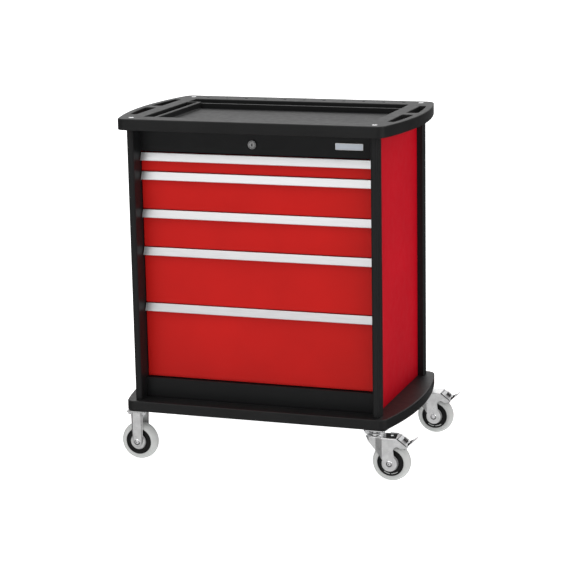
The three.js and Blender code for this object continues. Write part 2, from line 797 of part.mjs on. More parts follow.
function swivelFork() {
  const wide = SWIVEL_FORK_HALF;
  const narrow = 20;
  const tip = 10;
  const plan = outline([
    [FORK_NOSE, -tip],
    [-57, -narrow],
    [FOLD_START, -narrow],
    [FOLD_END, -wide],
    [FORK_TAIL + 1, -wide],
    [FORK_TAIL + 1, FORK_SHEET - wide],
    [FOLD_END + 0.6, FORK_SHEET - wide],
    [FOLD_START + 0.6, FORK_SHEET - narrow],
    [-56, FORK_SHEET - narrow],
    [FORK_NOSE + 1.5, FORK_SHEET - tip],
    [FORK_NOSE, FORK_SHEET - tip],
  ]);
  const crown = outline([
    [FORK_NOSE, -tip],
    [-57, -narrow],
    [FOLD_START, -narrow],
    [FOLD_END, -wide],
    [CROWN_END, -wide],
    [CROWN_END, wide],
    [FOLD_END, wide],
    [FOLD_START, narrow],
    [-57, narrow],
    [FORK_NOSE, tip],
  ]);
  const body = joined([
    ...forkLegs(plan, swivelForkSide()),
    alongZ(crown, FORK_TOP - 3, FORK_TOP),
    box(FORK_NOSE, FORK_NOSE + FORK_SHEET, -tip, tip, FORK_TOP - 6, FORK_TOP),
    uprightCylinder(-TRAIL, 0, RACE_RADIUS, FORK_TOP - 1, FORK_TOP + 8.6, 18),
  ]);
  const boreRadius = KINGPIN_RADIUS + 0.5;
  const pinHole = uprightCylinder(-TRAIL, 0, boreRadius, FORK_TOP - 20, FORK_TOP + 12, 12);
  return without(body, [pinHole, axleHole()]);
}

// Brake pedal: a sloping cover, a turned-up foot flap and a narrow shoe above the tread
function brakePedal() {
  const hub = WHEEL_RADIUS;
  const cover = outline([
    [CROWN_END + 2, FORK_TOP - 0.5],
    [45, hub + 46.5],
    [47, hub + 48.5],
    [CROWN_END + 4, FORK_TOP + 1.6],
  ]);
  const lever = outline([
    [36, hub + 45],
    [43, hub + 43],
    [47, hub + 45.5],
    [PEDAL_REACH - 2.2, hub + 65],
    [PEDAL_REACH, hub + 68.4],
    [PEDAL_REACH - 3.4, hub + 68],
    [46, hub + 49.5],
    [36, hub + 55],
  ]);
  const shoe = outline([
    [36.2, hub + 36.6],
    [39.5, hub + 36],
    [43, hub + 44],
    [36.2, hub + 46],
  ]);
  return joined([alongY(cover, -22.5, 22.5), alongY(lever, -15, 15), alongY(shoe, -10, 10)]);
}

// ---------------------------------------------------------------- put together
function placeCabinet() {
  place("top_tray", topTray(), MATERIALS.blackPlastic);
  place("top_deck", topDeck(), MATERIALS.zincSteel);
  place("base_tray", baseTray(), MATERIALS.blackPlastic);
  place("chassis_pan", chassisPan(), MATERIALS.zincSteel);
  const frontPost = frontLeftPost(FACE_RECESS + 2);
  const rearPost = mirroredY(frontLeftPost(POST_SIDE + REAR_FIN));
  place("post_front_left", frontPost, MATERIALS.blackPaint);
  place("post_front_right", mirroredX(frontPost), MATERIALS.blackPaint);
  place("post_rear_left", rearPost, MATERIALS.blackPaint);
  place("post_rear_right", mirroredX(rearPost), MATERIALS.blackPaint);
  place("side_panel_left", sidePanelLeft(), MATERIALS.panelRed);
  place("side_panel_right", mirroredX(sidePanelLeft()), MATERIALS.panelRed);
  place("rear_panel", rearPanel(), MATERIALS.panelRed);
  place("plinth_panel", plinthPanel(), MATERIALS.blackPaint);
  place("lock_fascia", lockFascia(), MATERIALS.blackPaint);
  place("nameplate", nameplate(), MATERIALS.plateBlue);
  place("runner_wall_left", runnerWallLeft(), MATERIALS.zincSteel);
  place("runner_wall_right", mirroredX(runnerWallLeft()), MATERIALS.zincSteel);
}

function placeLock() {
  place("lock_housing", lockHousing(), MATERIALS.chrome);
  place("lock_plug", lockPlug(), MATERIALS.chrome);
  place("lock_rod", lockRod(), MATERIALS.zincSteel);
  place("lock_bar", lockBar(), MATERIALS.zincSteel);
}

function placeDrawers() {
  DRAWER_HEIGHTS.forEach((height, index) => {
    const bottom = BOTTOMS[index];
    const number = index + 1;
    place(`drawer_${number}`, drawer(bottom, height), MATERIALS.drawerRed);
    place(`handle_${number}`, handle(bottom, height), MATERIALS.aluminium);
    place(`middle_rail_left_${number}`, middleRailLeft(bottom), MATERIALS.zincSteel);
    place(`middle_rail_right_${number}`, mirroredX(middleRailLeft(bottom)), MATERIALS.zincSteel);
  });
}

// A group whose origin is on the floor under a wheel's hub
function casterGroup(x, y) {
  const group = new THREE.Group();
  group.position.set(x, y, 0);
  cabinet.add(group);
  return group;
}

function placeWheel(corner, group, forkHalf) {
  const hub = new THREE.Group();
  hub.position.z = WHEEL_RADIUS;
  group.add(hub);
  place(`tyre_${corner}`, tyre(), MATERIALS.tyreGrey, hub);
  place(`rim_${corner}`, rim(), MATERIALS.rimBlack, hub);
  place(`axle_${corner}`, axle(forkHalf), MATERIALS.chrome, hub);
}

function placeCasters() {
  for (const [end, y] of [["front", -CASTER_Y], ["rear", CASTER_Y]]) {
    const fixed = casterGroup(FIXED_X, y);
    place(`fixed_fork_${end}`, fixedFork(), MATERIALS.zincSteel, fixed);
    placeWheel(`${end}_left`, fixed, FIXED_FORK_HALF);
    const swivel = casterGroup(HUB_X, y);
    place(`swivel_plate_${end}`, swivelPlate(), MATERIALS.zincSteel, swivel);
    place(`swivel_fork_${end}`, swivelFork(), MATERIALS.zincSteel, swivel);
    place(`brake_pedal_${end}`, brakePedal(), MATERIALS.zincSteel, swivel);
    placeWheel(`${end}_right`, swivel, SWIVEL_FORK_HALF);
  }
}

placeCabinet();
placeLock();
placeDrawers();
placeCasters();

export default cart;
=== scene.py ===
"""Looks of the tool cart: a roller cabinet with five drawers, a storage tray and four casters."""

import json
import math

import bmesh
import bpy
from mathutils import Matrix, Vector
from mathutils.geometry import tessellate_polygon


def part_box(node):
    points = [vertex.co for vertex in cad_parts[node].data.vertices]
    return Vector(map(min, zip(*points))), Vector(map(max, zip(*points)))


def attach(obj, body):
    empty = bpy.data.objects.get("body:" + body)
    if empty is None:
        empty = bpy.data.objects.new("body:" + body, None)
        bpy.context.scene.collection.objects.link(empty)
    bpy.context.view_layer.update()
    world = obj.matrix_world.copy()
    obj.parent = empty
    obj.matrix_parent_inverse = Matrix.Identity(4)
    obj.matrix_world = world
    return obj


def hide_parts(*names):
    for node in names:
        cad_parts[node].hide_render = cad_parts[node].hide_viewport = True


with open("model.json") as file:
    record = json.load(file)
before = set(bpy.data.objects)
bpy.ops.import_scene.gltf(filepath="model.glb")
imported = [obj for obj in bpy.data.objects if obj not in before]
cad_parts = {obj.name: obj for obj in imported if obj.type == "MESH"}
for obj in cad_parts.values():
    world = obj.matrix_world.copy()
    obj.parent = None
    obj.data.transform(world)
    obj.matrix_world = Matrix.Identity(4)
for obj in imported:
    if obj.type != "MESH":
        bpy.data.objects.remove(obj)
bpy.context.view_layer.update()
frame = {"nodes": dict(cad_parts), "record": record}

# ---------------------------------------------------------------- driving dimensions, in millimetres
MM = 0.001


def cad_box(node):
    """The lowest and highest corner of a CAD node, in millimetres."""
    low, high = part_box(node)
    return low / MM, high / MM


TRAY_LOW, TRAY_HIGH = cad_box("top_tray")
BASE_LOW, BASE_HIGH = cad_box("base_tray")
CENTRE_X = (TRAY_LOW.x + TRAY_HIGH.x) / 2
HALF_WING = (TRAY_HIGH.x - TRAY_LOW.x) / 2
HALF_DEPTH = TRAY_HIGH.y
WING_SAG = 35
CORNER_RADIUS = 25
SHELL = 4  # wall thickness of the tray and of the base
SCREW_PROUD = 0.7  # how far the tray's screws stand above its rim
WING_RADIUS = (HALF_DEPTH**2 + WING_SAG**2) / (2 * WING_SAG)
WING_CENTRE = HALF_WING - WING_RADIUS
DRAWERS = 5


# ---------------------------------------------------------------- outlines
def arc(x, y, radius, start, end, steps):
    """Points on a circle from one angle in degrees to another."""
    angles = [math.radians(start + (end - start) * k / steps) for k in range(steps + 1)]
    return [Vector((x + radius * math.cos(a), y + radius * math.sin(a))) for a in angles]


def circle(x, y, radius, steps):
    return arc(x, y, radius, 0, 360, steps)[:-1]


def quarter_turn(steps):
    """Angles from 0 to 90 degrees, in radians."""
    return [math.pi / 2 * k / steps for k in range(steps + 1)]


def inset(points, distance):
    """Moves every side of a closed anticlockwise outline inwards, keeping its number of points."""
    moved = []
    count = len(points)
    for i, here in enumerate(points):
        before = (here - points[i - 1]).normalized()
        after = (points[(i + 1) % count] - here).normalized()
        normal = Vector((-before.y - after.y, before.x + after.x))
        moved.append(here + normal * (2 * distance / normal.length_squared))
    return moved


def rounded(corners, radius, steps=5):
    """A closed outline with its corners rounded; each corner may carry its own radius as a third number."""
    points = []
    count = len(corners)
    for i, corner in enumerate(corners):
        here = Vector(corner[:2])
        reach = corner[2] if len(corner) > 2 else radius
        to_before = (Vector(corners[i - 1][:2]) - here).normalized()
        to_after = (Vector(corners[(i + 1) % count][:2]) - here).normalized()
        if reach == 0:
            points.append(here)
            continue
        half = to_before.angle(to_after) / 2
        start = here + to_before * (reach / math.tan(half))
        end = here + to_after * (reach / math.tan(half))
        middle = here + (to_before + to_after).normalized() * (reach / math.sin(half))
        a, b = start - middle, end - middle
        turn = a.angle_signed(b)
        for k in range(steps + 1):
            points.append(middle + Matrix.Rotation(-turn * k / steps, 2) @ a)
    return points


def rectangle(x0, x1, y0, y1, radius, steps=5):
    return rounded([(x0, y0), (x1, y0), (x1, y1), (x0, y1)], radius, steps)


def winged_outline():
    """The plan that the tray and the base share: straight front and back, bowed ends."""
    corner_y = HALF_DEPTH - CORNER_RADIUS
    corner_x = WING_CENTRE + math.sqrt((WING_RADIUS - CORNER_RADIUS) ** 2 - corner_y**2)
    sweep = math.degrees(math.atan2(corner_y, corner_x - WING_CENTRE))
    right = arc(corner_x, -corner_y, CORNER_RADIUS, -90, -sweep, 9)[:-1]
    right += arc(WING_CENTRE, 0, WING_RADIUS, -sweep, sweep, 36)[:-1]
    right += arc(corner_x, corner_y, CORNER_RADIUS, sweep, 90, 9)
    left = [Vector((-p.x, -p.y)) for p in right]
    return [p + Vector((CENTRE_X, 0)) for p in right + left]


# ---------------------------------------------------------------- meshes
class Body:
    """Collects points, in millimetres, and the faces between them."""

    def __init__(self):
        self.points = []
        self.faces = []

    def loop(self, points):
        start = len(self.points)
        self.points += [Vector(p) for p in points]
        return list(range(start, len(self.points)))

    def bridge(self, first, second):
        count = len(first)
        for i in range(count):
            j = (i + 1) % count
            self.faces.append((first[i], first[j], second[j], second[i]))

    def skin(self, loops):
        """Joins each loop to the next."""
        for first, second in zip(loops, loops[1:]):
            self.bridge(first, second)

    def cap(self, *loops):
        """A flat face whose first loop is its edge and whose other loops are holes."""
        indices = [i for loop in loops for i in loop]
        corners = [[self.points[i] for i in loop] for loop in loops]
        for triangle in tessellate_polygon(corners):
            self.faces.append(tuple(indices[i] for i in triangle))

    def rings(self, outline, profile, side=1):
        """Stacks an outline at each (inset, height) of a profile and returns the loops."""
        loops = []
        for distance, height in profile:
            points = inset(outline, side * distance)
            loops.append(self.loop([(p.x, p.y, height) for p in points]))
        self.skin(loops)
        return loops

    def closed(self, loops):
        """Joins a row of loops and caps both of its ends."""
        self.skin(loops)
        self.cap(loops[0])
        self.cap(loops[-1])

    def turned(self, profile, steps):
        """A loop round the Z axis for each (radius, height) of a profile."""
        loops = []
        for radius, height in profile:
            loops.append(self.loop([(p.x, p.y, height) for p in circle(0, 0, radius, steps)]))
        return loops

    def plate(self, outline, low, high, edge, holes=(), steps=2):
        """A flat plate with rounded edges, drawn in X and Y."""
        profile = wall_profile(low, high, edge, edge, steps)
        walls = [self.rings(outline, profile)]
        walls += [self.rings(hole, profile, -1) for hole in holes]
        self.cap(*[wall[0] for wall in walls])
        self.cap(*[wall[-1] for wall in walls])

    def lathe(self, profile, steps=48):
        """A body turned about the Z axis from a closed list of (radius, height)."""
        loops = self.turned(profile, steps)
        self.skin(loops + loops[:1])

    def dome(self, profile, steps):
        """A solid turned about the Z axis from an open profile, closed by a flat face at each end."""
        self.closed(self.turned(profile, steps))

    def tube(self, path, radius, sides):
        """A round wire along a path of points."""
        loops = []
        side = None
        for i, here in enumerate(path):
            ahead = (path[min(i + 1, len(path) - 1)] - path[max(i - 1, 0)]).normalized()
            if side is None:
                side = ahead.orthogonal().normalized()
            side = (side - ahead * side.dot(ahead)).normalized()
            up = ahead.cross(side)
            ring = circle(0, 0, radius, sides)
            loops.append(self.loop([here + side * p.x + up * p.y for p in ring]))
        self.closed(loops)

    def moved(self, matrix):
        self.points = [matrix @ p for p in self.points]
        return self

    def add(self, other, matrix=None):
        start = len(self.points)
        shift = matrix or Matrix.Identity(4)
        self.points += [shift @ p for p in other.points]
        self.faces += [tuple(i + start for i in face) for face in other.faces]
        return self


def wall_profile(low, high, low_round, high_round, steps):
    """(inset, height) up a wall with both of its edges rounded."""
    turns = quarter_turn(steps)
    bottom = [(low_round * (1 - math.sin(t)), low + low_round * (1 - math.cos(t))) for t in turns]
    top = [(high_round * (1 - math.cos(t)), high - high_round * (1 - math.sin(t))) for t in turns]
    return bottom + top


# Both stand up a body that was drawn in X and Y with its depth along Z.
# DEEP puts the drawing in X and Z with its depth to the front, ACROSS in Y and Z with its depth along X.
DEEP = Matrix(((1, 0, 0, 0), (0, 0, -1, 0), (0, 1, 0, 0), (0, 0, 0, 1)))
ACROSS = Matrix(((0, 0, 1, 0), (1, 0, 0, 0), (0, 1, 0, 0), (0, 0, 0, 1)))
SAME_POINT = 1e-6  # in metres
CREASE = math.radians(32)


def at(x, y, z):
    return Matrix.Translation((x, y, z))


def piece(name, body, slot, rides_on, replaces=()):
    """Makes a piece, in metres, from a body and ties it to a CAD body and a material slot."""
    mesh = bpy.data.meshes.new(name)
    mesh.from_pydata([p * MM for p in body.points], [], body.faces)
    shaped = bmesh.new()
    shaped.from_mesh(mesh)
    bmesh.ops.remove_doubles(shaped, verts=shaped.verts, dist=SAME_POINT)
    bmesh.ops.recalc_face_normals(shaped, faces=shaped.faces)
    shaped.to_mesh(mesh)
    shaped.free()
    mesh.polygons.foreach_set("use_smooth", [True] * len(mesh.polygons))
    mesh.set_sharp_from_angle(angle=CREASE)
    thing = bpy.data.objects.new(name, mesh)
    bpy.context.scene.collection.objects.link(thing)
    mesh.materials.append(MATERIALS[slot])
    thing.modifiers.new("even_shading", "WEIGHTED_NORMAL").keep_sharp = True
    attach(thing, rides_on)
    if replaces:
        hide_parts(*replaces)
    return thing


def fold(body, lines, lift):
    """Cuts a body along planes of constant X, then moves each point along Y by lift(x)."""
    work = bmesh.new()
    corners = [work.verts.new(p) for p in body.points]
    for face in body.faces:
        work.faces.new([corners[i] for i in face])
    for x in lines:
        everything = work.verts[:] + work.edges[:] + work.faces[:]
        bmesh.ops.bisect_plane(work, geom=everything, plane_co=(x, 0, 0), plane_no=(1, 0, 0))
    folded = Body()
    work.verts.index_update()
    for corner in work.verts:
        x, y, z = corner.co
        folded.points.append(Vector((x, y + lift(x), z)))
    folded.faces = [tuple(v.index for v in face.verts) for face in work.faces]
    work.free()
    return folded


# ---------------------------------------------------------------- materials
NOISE_LOW, NOISE_HIGH = 0.3, 0.7  # most of a noise texture's values lie between these


class Nodes:
    """A short way to write a material's node tree."""

    def __init__(self, name):
        self.material = bpy.data.materials.new(name)
        self.material.use_nodes = True
        self.tree = self.material.node_tree
        self.shader = self.tree.nodes["Principled BSDF"]
        self.place = self.tree.nodes.new("ShaderNodeTexCoord").outputs["Object"]

    def link(self, source, target):
        self.tree.links.new(source, target)

    def set(self, **values):
        for key, value in values.items():
            self.shader.inputs[key.replace("_", " ")].default_value = value

    def stretched(self, scale):
        node = self.tree.nodes.new("ShaderNodeMapping")
        node.inputs["Scale"].default_value = scale
        self.link(self.place, node.inputs["Vector"])
        return node.outputs["Vector"]

    def noise(self, scale, detail, roughness=0.5, place=None):
        node = self.tree.nodes.new("ShaderNodeTexNoise")
        node.inputs["Scale"].default_value = scale
        node.inputs["Detail"].default_value = detail
        node.inputs["Roughness"].default_value = roughness
        self.link(place or self.place, node.inputs["Vector"])
        return node.outputs["Fac"]

    def ramp(self, source, stops):
        """A colour ramp with a list of (position, linear colour)."""
        node = self.tree.nodes.new("ShaderNodeValToRGB")
        band = node.color_ramp
        while len(band.elements) < len(stops):
            band.elements.new(1)
        for element, (position, colour) in zip(band.elements, stops):
            element.position = position
            element.color = (*colour, 1)
        self.link(source, node.inputs["Fac"])
        return node.outputs["Color"]

    def span(self, source, low, high):
        """Maps a texture's value onto a range."""
        node = self.tree.nodes.new("ShaderNodeMapRange")
        node.inputs["From Min"].default_value = NOISE_LOW
        node.inputs["From Max"].default_value = NOISE_HIGH
        node.inputs["To Min"].default_value = low
        node.inputs["To Max"].default_value = high
        self.link(source, node.inputs["Value"])
        return node.outputs["Result"]

    def mottle(self, source, colour, spread, start=NOISE_LOW, end=NOISE_HIGH):
        """Base colour between a shade darker and a shade lighter by a share of the colour."""
        dark, light = [tuple(c * (1 + shift) for c in colour) for shift in (-spread, spread)]
        self.link(self.ramp(source, [(start, dark), (end, light)]), self.shader.inputs["Base Color"])

    def gloss(self, source, low, high):
        """Roughness that varies with a texture."""
        self.link(self.span(source, low, high), self.shader.inputs["Roughness"])

    def bump(self, height, depth):
        """Relief of a depth in millimetres, on top of any relief the shader already has."""
        node = self.tree.nodes.new("ShaderNodeBump")
        node.inputs["Distance"].default_value = depth * MM
        node.inputs["Strength"].default_value = 1
        self.link(height, node.inputs["Height"])
        if self.shader.inputs["Normal"].is_linked:
            self.link(self.shader.inputs["Normal"].links[0].from_socket, node.inputs["Normal"])
        self.link(node.outputs["Normal"], self.shader.inputs["Normal"])


def moulded_plastic(name, colour, roughness, grain):
    """Black moulding with a fine leathery grain and faint flow marks."""
    n = Nodes(name)
    n.mottle(n.noise(9, 4), colour, 0.15, 0.35, 0.68)
    n.gloss(n.noise(60, 3), roughness - 0.03, roughness + 0.04)
    n.set(Specular_IOR_Level=0.26)
    n.bump(n.noise(1400, 3, 0.6), grain)
    return n.material


def powder_coat(name, colour, roughness, level):
    """Baked paint with a slight orange peel."""
    n = Nodes(name)
    n.mottle(n.noise(5, 4), colour, 0.07)
    n.gloss(n.noise(40, 3), roughness - 0.04, roughness + 0.05)
    n.set(Specular_IOR_Level=level)
    n.bump(n.noise(420, 2, 0.4), 0.03)
    n.bump(n.noise(1900, 2, 0.5), 0.012)
    return n.material


def drawn_metal(name, colour, roughness, along, metallic):
    """Metal with fine lines; along is the stretch of the grain on each axis."""
    n = Nodes(name)
    grain = n.noise(700, 4, 0.6, n.stretched(along))
    n.mottle(grain, colour, 0.06)
    n.gloss(grain, roughness - 0.05, roughness + 0.08)
    n.set(Metallic=metallic)
    n.bump(grain, 0.01)
    return n.material


def plated_steel(name, colour, roughness, metallic=1.0):
    """Zinc plate: soft cloudy patches and tiny handling marks."""
    n = Nodes(name)
    n.mottle(n.noise(70, 5, 0.6), colour, 0.10)
    n.gloss(n.noise(220, 4), roughness - 0.07, roughness + 0.1)
    n.set(Metallic=metallic)
    n.bump(n.noise(900, 3, 0.6), 0.012)
    return n.material


def grey_rubber(name, colour):
    """Non-marking tread rubber, faintly mottled, with a dull skin."""
    n = Nodes(name)
    n.mottle(n.noise(55, 5, 0.6), colour, 0.05)
    n.gloss(n.noise(300, 3), 0.5, 0.68)
    n.set(Specular_IOR_Level=0.4)
    n.bump(n.noise(1100, 3, 0.6), 0.03)
    return n.material


MATERIALS = {
    "black_plastic": moulded_plastic("black_plastic", (0.0095, 0.0097, 0.0099), 0.46, 0.03),
    "black_profile": powder_coat("black_profile", (0.0105, 0.0108, 0.0112), 0.42, 0.2),
    "black_paint": powder_coat("black_paint", (0.0085, 0.0088, 0.0092), 0.44, 0.2),
    "drawer_red": powder_coat("drawer_red", (0.47, 0.0088, 0.0070), 0.42, 0.09),
    "panel_red": powder_coat("panel_red", (0.43, 0.0030, 0.0110), 0.5, 0.025),
    "handle_aluminium": drawn_metal("handle_aluminium", (0.78, 0.78, 0.79), 0.36, (0.03, 1, 1), 0.85),
    "zinc_steel": plated_steel("zinc_steel", (0.78, 0.79, 0.80), 0.36, 0.65),
    "caster_steel": plated_steel("caster_steel", (0.84, 0.84, 0.84), 0.34, 0.9),
    "axle_steel": plated_steel("axle_steel", (0.40, 0.40, 0.40), 0.3),
    "chrome": plated_steel("chrome", (0.92, 0.92, 0.93), 0.16),
    "plate_metal": drawn_metal("plate_metal", (0.64, 0.69, 0.76), 0.34, (0.04, 1, 1), 0.7),
    "tyre_grey": grey_rubber("tyre_grey", (0.49, 0.50, 0.49)),
    "rim_black": moulded_plastic("rim_black", (0.0090, 0.0090, 0.0092), 0.5, 0.02),
}


# ---------------------------------------------------------------- CAD nodes that stay
FLAT_WITHIN = math.radians(0.5)
EDGE_FROM = math.radians(35)


def edge_rounding(node, width):
    """Rounds the edges of a CAD node with modifiers; its own mesh stays as it is."""
    thing = frame["nodes"][node]
    weld = thing.modifiers.new("weld", "WELD")
    weld.merge_threshold = SAME_POINT
    flat = thing.modifiers.new("flat_faces", "DECIMATE")
    flat.decimate_type = "DISSOLVE"
    flat.angle_limit = FLAT_WITHIN
    bevel = thing.modifiers.new("edges", "BEVEL")
    bevel.width = width * MM
    bevel.segments = 2
    bevel.limit_method = "ANGLE"
    bevel.angle_limit = EDGE_FROM
    bevel.harden_normals = True


def dress_cad_nodes():
    """Gives every CAD node the material of its slot."""
    slots = {row["node"]: row["material_slot"] for row in frame["record"]["subparts"]}
    for node, thing in frame["nodes"].items():
        thing.data.materials.clear()
        thing.data.materials.append(MATERIALS[slots[node]])


# ---------------------------------------------------------------- tray
POCKET_SIDE = 303  # from the centre to the recesses' outer walls
POCKET_FRONT, POCKET_BACK = -192, 176
POCKET_DEPTH = 16
WIDE_LEFT, NARROW_RIGHT = -263, -274  # the two faces of the wall between the recesses
RIDGE_FRONT, RIDGE_BACK = 110, 118  # the ridge in front of the back channel
SLOT_MARGIN = 18  # from a hand slot to the outer edge of the wing
SLOT_INNER = 340  # from the centre to a hand slot
SLOT_NEAR, SLOT_FAR = 18, 155  # from the middle of a wing to both ends of a hand slot
SCREW_X, SCREW_Y = 326, 217
SCREW_SUNK = 1.6  # from the CAD tray's top down to the underside of a screw's head
HEAD_EDGE = 0.4  # upright edge of a screw's head


def tray_pockets():
    """Outlines of the main recess with the back channel, and of the narrow left compartment."""
    wide = [
        (WIDE_LEFT, POCKET_FRONT),
        (POCKET_SIDE, POCKET_FRONT),
        (POCKET_SIDE, POCKET_BACK),
        (-POCKET_SIDE, POCKET_BACK),
        (-POCKET_SIDE, RIDGE_BACK),
        (WIDE_LEFT, RIDGE_BACK, 2),
    ]
    narrow = [
        (-POCKET_SIDE, POCKET_FRONT),
        (NARROW_RIGHT, POCKET_FRONT),
        (NARROW_RIGHT, RIDGE_FRONT),
        (-POCKET_SIDE, RIDGE_FRONT),
    ]
    outlines = [rounded(corners, 5) for corners in (wide, narrow)]
    return [[p + Vector((CENTRE_X, 0)) for p in outline] for outline in outlines]


def hand_slots():
    """The four openings in the wings."""
    edge = WING_RADIUS - SLOT_MARGIN
    start = math.degrees(math.asin(SLOT_NEAR / edge))
    end = math.degrees(math.asin(SLOT_FAR / edge))
    bow = arc(WING_CENTRE, 0, edge, start, end, 14)
    corners = [(SLOT_INNER, SLOT_NEAR, 6), (bow[0].x, bow[0].y, 6)]
    corners += [(p.x, p.y, 0) for p in bow[1:-1]]
    corners += [(bow[-1].x, bow[-1].y, 4), (SLOT_INNER, SLOT_FAR, 5)]
    right = rounded(corners, 0)
    slots = [right]
    slots.append([Vector((p.x, -p.y)) for p in reversed(right)])
    slots.append([Vector((-p.x, p.y)) for p in reversed(right)])
    slots.append([Vector((-p.x, -p.y)) for p in right])
    return [[p + Vector((CENTRE_X, 0)) for p in slot] for slot in slots]


def tool_holes():
    """Eleven holes in a row along the back rim."""
    pitch, back, radius = 56, 210, 4.5
    return [circle(CENTRE_X + pitch * k, back, radius, 20) for k in range(-5, 6)]


def top_tray():
    top, skirt = TRAY_HIGH.z - SCREW_PROUD, TRAY_LOW.z
    under, floor = top - SHELL, top - POCKET_DEPTH
    rim = 2.5  # rounding of the hand slots' and recesses' rims, and of the recesses' floors
    steps = 3
    body = Body()
    outline = winged_outline()
    outside = body.rings(outline, wall_profile(skirt, top, 1, 3, 4))
    inside = body.rings(outline, [(SHELL, skirt), (SHELL, under)])
    body.bridge(outside[0], inside[0])
    tops, unders = [outside[-1]], [inside[-1]]
    for slot in hand_slots():
        wall = body.rings(slot, wall_profile(skirt, top, 1, rim, steps), -1)
        cover = body.rings(slot, [(3.5, skirt), (3.5, under)], -1)
        body.bridge(wall[0], cover[0])
        tops.append(wall[-1])
        unders.append(cover[-1])
    for pocket in tray_pockets():
        lip = wall_profile(floor, top, 0, rim, steps)[steps + 1 :]
        wall = body.rings(pocket, lip, -1)
        turns = quarter_turn(steps)
        fillet = [(rim * (1 - math.cos(t)), floor + rim * (1 - math.sin(t))) for t in turns]
        foot = body.rings(pocket, fillet)
        body.bridge(foot[0], wall[0])
        body.cap(foot[-1])
        tub = body.rings(pocket, [(3, floor - SHELL), (3, under)], -1)
        body.cap(tub[0])
        tops.append(wall[-1])
        unders.append(tub[-1])
    for hole in tool_holes():
        wall = body.rings(hole, [(0, under), (0, top - 0.8), (0.3, top - 0.2), (0.8, top)], -1)
        tops.append(wall[-1])
        unders.append(wall[0])
    body.cap(*tops)
    body.cap(*unders)
    left, right = CENTRE_X + WIDE_LEFT - 1, CENTRE_X + POCKET_SIDE + 1
    ridge = rectangle(left, right, RIDGE_FRONT, RIDGE_BACK, 0.8, 2)
    body.plate(ridge, floor - 1, top - 3, 1)
    piece("tray", body, "black_plastic", "cabinet", ["top_tray"])


def screw_head(radius, height, socket, depth):
    """A low domed head with a six-sided socket."""
    body = Body()
    crown = socket + 1
    wide = radius - crown
    outside = [(radius, 0)]
    for turn in quarter_turn(4):
        outside.append((crown + wide * math.cos(turn), height * math.sin(turn) + HEAD_EDGE))
    loops = body.turned(outside, 24)
    body.skin(loops)
    body.cap(loops[0])
    top = height + HEAD_EDGE
    rim = body.loop([(p.x, p.y, top) for p in circle(0, 0, socket, 6)])
    floor = body.loop([(p.x, p.y, top - depth) for p in circle(0, 0, socket, 6)])
    body.cap(loops[-1], rim)
    body.bridge(rim, floor)
    body.cap(floor)
    return body


def tray_screws():
    body = Body()
    for side in (-1, 1):
        for end in (-1, 1):
            place = at(CENTRE_X + side * SCREW_X, end * SCREW_Y, TRAY_HIGH.z - SCREW_SUNK)
            body.add(screw_head(radius=7.5, height=1.2, socket=2.5, depth=1.2), place)
    piece("tray_screws", body, "chrome", "cabinet")


def base_tray():
    low, high = BASE_LOW.z, BASE_HIGH.z
    body = Body()
    outline = winged_outline()
    outside = body.rings(outline, wall_profile(low, high, 3.5, 3, 4))
    inside = body.rings(outline, [(SHELL, low), (SHELL, high - SHELL)])
    body.bridge(outside[0], inside[0])
    body.cap(outside[-1])
    body.cap(inside[-1])
    piece("base", body, "black_plastic", "cabinet", ["base_tray"])


# ---------------------------------------------------------------- cabinet
def corner_post(node):
    """A hollow post with a rounded front and a thin jamb towards the drawers."""
    low, high = cad_box(node)
    right = low.x > CENTRE_X
    rear = low.y > 0
    width, side, jamb = 18, 37.3, 1.4
    wall, front_wall = 2, 5
    fin = side + wall if rear else high.y - low.y
    section = rounded(
        [
            (0, side, 0.6),
            (0, 0, 6),
            (width, 0, 5),
            (width, fin, 0.3),
            (width - jamb, fin, 0.3),
            (width - jamb, side, 0.3),
        ],
        0,
        6,
    )
    hollow = rectangle(wall, width - wall, front_wall, side - wall, 1, 2)
    if right:
        section = [Vector((width - p.x, p.y)) for p in reversed(section)]
        hollow = [Vector((width - p.x, p.y)) for p in reversed(hollow)]
    if rear:
        section = [Vector((p.x, fin - p.y)) for p in reversed(section)]
        hollow = [Vector((p.x, fin - p.y)) for p in reversed(hollow)]
    corner = Vector((low.x, low.y))
    section, hollow = [[p + corner for p in outline] for outline in (section, hollow)]
    body = Body()
    body.plate(section, low.z, high.z, 0.2, [hollow], 1)
    piece(node.replace("post_", "corner_post_"), body, "black_profile", "cabinet", [node])


def cabinet():
    """The posts, and the panels and drawers that stay as CAD nodes with rounded edges."""
    for end in ("front", "rear"):
        for side in ("left", "right"):
            corner_post(f"post_{end}_{side}")
    for node in ("side_panel_left", "side_panel_right", "rear_panel"):
        edge_rounding(node, 0.4)
    drawers = [f"drawer_{number}" for number in range(1, DRAWERS + 1)]
    for node in ("plinth_panel", "lock_fascia", *drawers):
        edge_rounding(node, 0.5)


def handle(number):
    """A full-width lip: a flange on the drawer face and a slanted strip to pull."""
    low, high = cad_box(f"handle_{number}")
    face, top = high.y, high.z
    section = rounded(
        [
            (face - 2.6, top, 1.2),
            (face - 11.1, top - 20, 0.9),
            (face - 9.2, top - 21, 0.6),
            (face - 1.5, top - 4.4, 0.8),
            (face - 1.5, top - 14, 0.4),
            (face, top - 14, 0.2),
            (face, top, 0.2),
        ],
        0,
        4,
    )
    body = Body()
    body.plate(section, low.x, high.x, 0.3, (), 2)
    piece(f"pull_{number}", body.moved(ACROSS), "handle_aluminium", f"drawer_{number}", [f"handle_{number}"])


